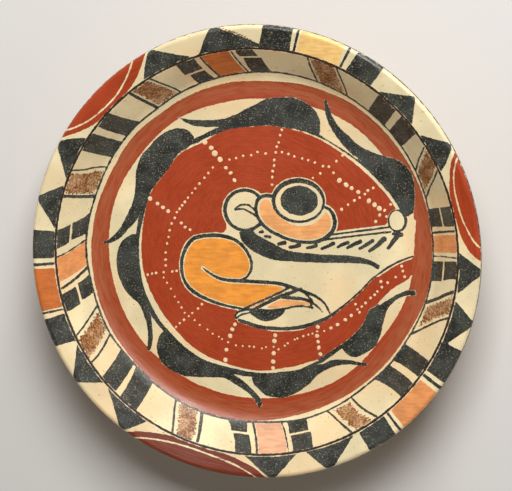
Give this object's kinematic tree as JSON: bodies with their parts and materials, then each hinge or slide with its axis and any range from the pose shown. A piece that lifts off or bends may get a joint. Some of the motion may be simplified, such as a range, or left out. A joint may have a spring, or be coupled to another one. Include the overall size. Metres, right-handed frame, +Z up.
{
  "type": "painted tripod plate",
  "caption": "Round painted pottery plate with a flat floor, flaring wall and broad rim, standing on hollow rattle feet.",
  "frame": {"origin": "on the table, under the middle of the plate", "axes": "+Z up; +X to the right and +Y to the top of the painted figure; foot 1 on +Y"},
  "size_m": [0.38, 0.38, 0.084],
  "materials": {
    "painted_floor": "burnished red slip with black, cream and orange figures, satin, worn",
    "painted_wall": "burnished cream slip with black, red, orange and brown blocks, satin, worn; bare buff clay outside",
    "foot_clay": "smoothed buff clay with a thin worn slip, matt to satin",
    "pellet_clay": "bare fired clay, matt"
  },
  "bodies": {
    "vessel": {"floor_slab": "painted_floor", "wall_ring": "painted_wall", "rim_ledge": "painted_wall", "foot_1_shell": "foot_clay", "foot_1_collar": "foot_clay", "foot_2_shell": "foot_clay", "foot_2_collar": "foot_clay", "foot_3_shell": "foot_clay", "foot_3_collar": "foot_clay"},
    "foot_1_pellet_a": {"foot_1_pellet_a": "pellet_clay"},
    "foot_1_pellet_b": {"foot_1_pellet_b": "pellet_clay"},
    "foot_2_pellet_a": {"foot_2_pellet_a": "pellet_clay"},
    "foot_2_pellet_b": {"foot_2_pellet_b": "pellet_clay"},
    "foot_3_pellet_a": {"foot_3_pellet_a": "pellet_clay"},
    "foot_3_pellet_b": {"foot_3_pellet_b": "pellet_clay"}
  },
  "joints": [
    {"name": "foot_1_rattle_a", "type": "slide", "parent": "vessel", "child": "foot_1_pellet_a", "axis": [0, 0, 1], "range_m": [0, 0.0285]},
    {"name": "foot_1_rattle_b", "type": "slide", "parent": "vessel", "child": "foot_1_pellet_b", "axis": [0, 0, 1], "range_m": [0, 0.0285]},
    {"name": "foot_2_rattle_a", "type": "slide", "parent": "vessel", "child": "foot_2_pellet_a", "axis": [0, 0, 1], "range_m": [0, 0.0285]},
    {"name": "foot_2_rattle_b", "type": "slide", "parent": "vessel", "child": "foot_2_pellet_b", "axis": [0, 0, 1], "range_m": [0, 0.0285]},
    {"name": "foot_3_rattle_a", "type": "slide", "parent": "vessel", "child": "foot_3_pellet_a", "axis": [0, 0, 1], "range_m": [0, 0.0285]},
    {"name": "foot_3_rattle_b", "type": "slide", "parent": "vessel", "child": "foot_3_pellet_b", "axis": [0, 0, 1], "range_m": [0, 0.0285]}
  ]
}
